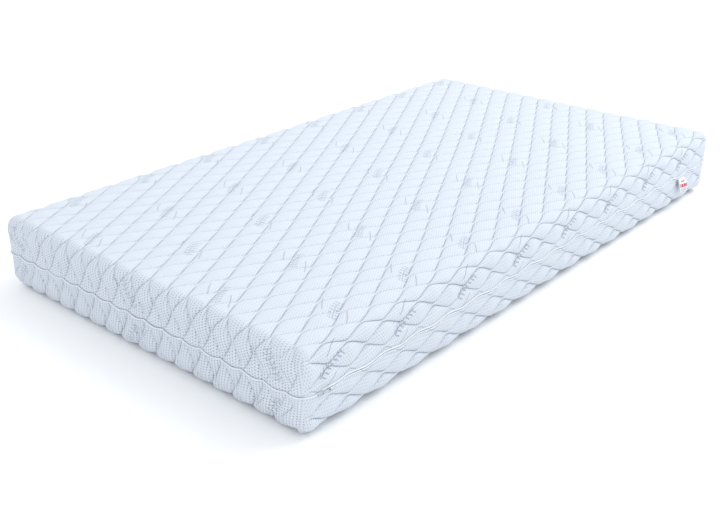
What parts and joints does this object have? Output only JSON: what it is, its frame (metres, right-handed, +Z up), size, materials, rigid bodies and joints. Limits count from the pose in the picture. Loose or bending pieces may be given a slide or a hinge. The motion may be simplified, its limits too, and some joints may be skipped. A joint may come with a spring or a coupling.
{
  "type": "memory foam mattress",
  "caption": "Rectangular memory foam mattress in a diamond-quilted knit cover, with a mid-height seam, a concealed side zip and a folded side label.",
  "frame": {"origin": "centre of the flat bottom face, on the surface the mattress lies on", "axes": "+X across the width, towards the side with the zip and label; +Y along the length, from the slider's closed end to the open end; +Z up, from the base foam to the sleeping surface"},
  "size_m": [0.8047, 1.4, 0.15],
  "materials": {
    "cover_knit": "matte",
    "wadding": "matte",
    "backing": "matte",
    "piping": "matte",
    "zip_tape": "matte",
    "zip_plastic": "satin",
    "thread": "matte",
    "zip_metal": "satin",
    "label_tape": "matte",
    "sleeve_knit": "matte",
    "memory_foam": "matte",
    "transition_foam": "matte",
    "base_foam": "matte"
  },
  "bodies": {
    "mattress": {"top_cover_knit": "cover_knit", "top_cover_wadding": "wadding", "top_cover_backing": "backing", "bottom_cover_knit": "cover_knit", "bottom_cover_wadding": "wadding", "bottom_cover_backing": "backing", "seam_piping": "piping", "zip_upper_lip": "piping", "zip_lower_lip": "piping", "zip_upper_tape": "zip_tape", "zip_lower_tape": "zip_tape", "zip_upper_teeth": "zip_plastic", "zip_lower_teeth": "zip_plastic", "zip_top_stops": "zip_plastic", "zip_bottom_stop": "zip_plastic", "zip_end_tacks": "thread", "core_sleeve": "sleeve_knit", "memory_foam_layer": "memory_foam", "transition_foam_layer": "transition_foam", "base_foam_layer": "base_foam"},
    "zip_slider_body": {"zip_slider": "zip_metal"},
    "pull_tab_body": {"zip_pull_tab": "zip_metal"},
    "label_body": {"side_label": "label_tape"}
  },
  "joints": [
    {"name": "zip_slide", "type": "slide", "parent": "mattress", "child": "zip_slider_body", "axis": [0, 1, 0], "range_m": [0, 1.2954]},
    {"name": "pull_tab_pivot", "type": "hinge", "parent": "zip_slider_body", "child": "pull_tab_body", "pos_m": [0.4026, -0.6477, 0.075], "axis": [0, 0, 1], "range_deg": [0, 175]},
    {"name": "side_label_swing", "type": "hinge", "parent": "mattress", "child": "label_body", "pos_m": [0.4012, 0.548, 0.0712], "axis": [0, -1, 0], "range_deg": [0, 90]}
  ]
}
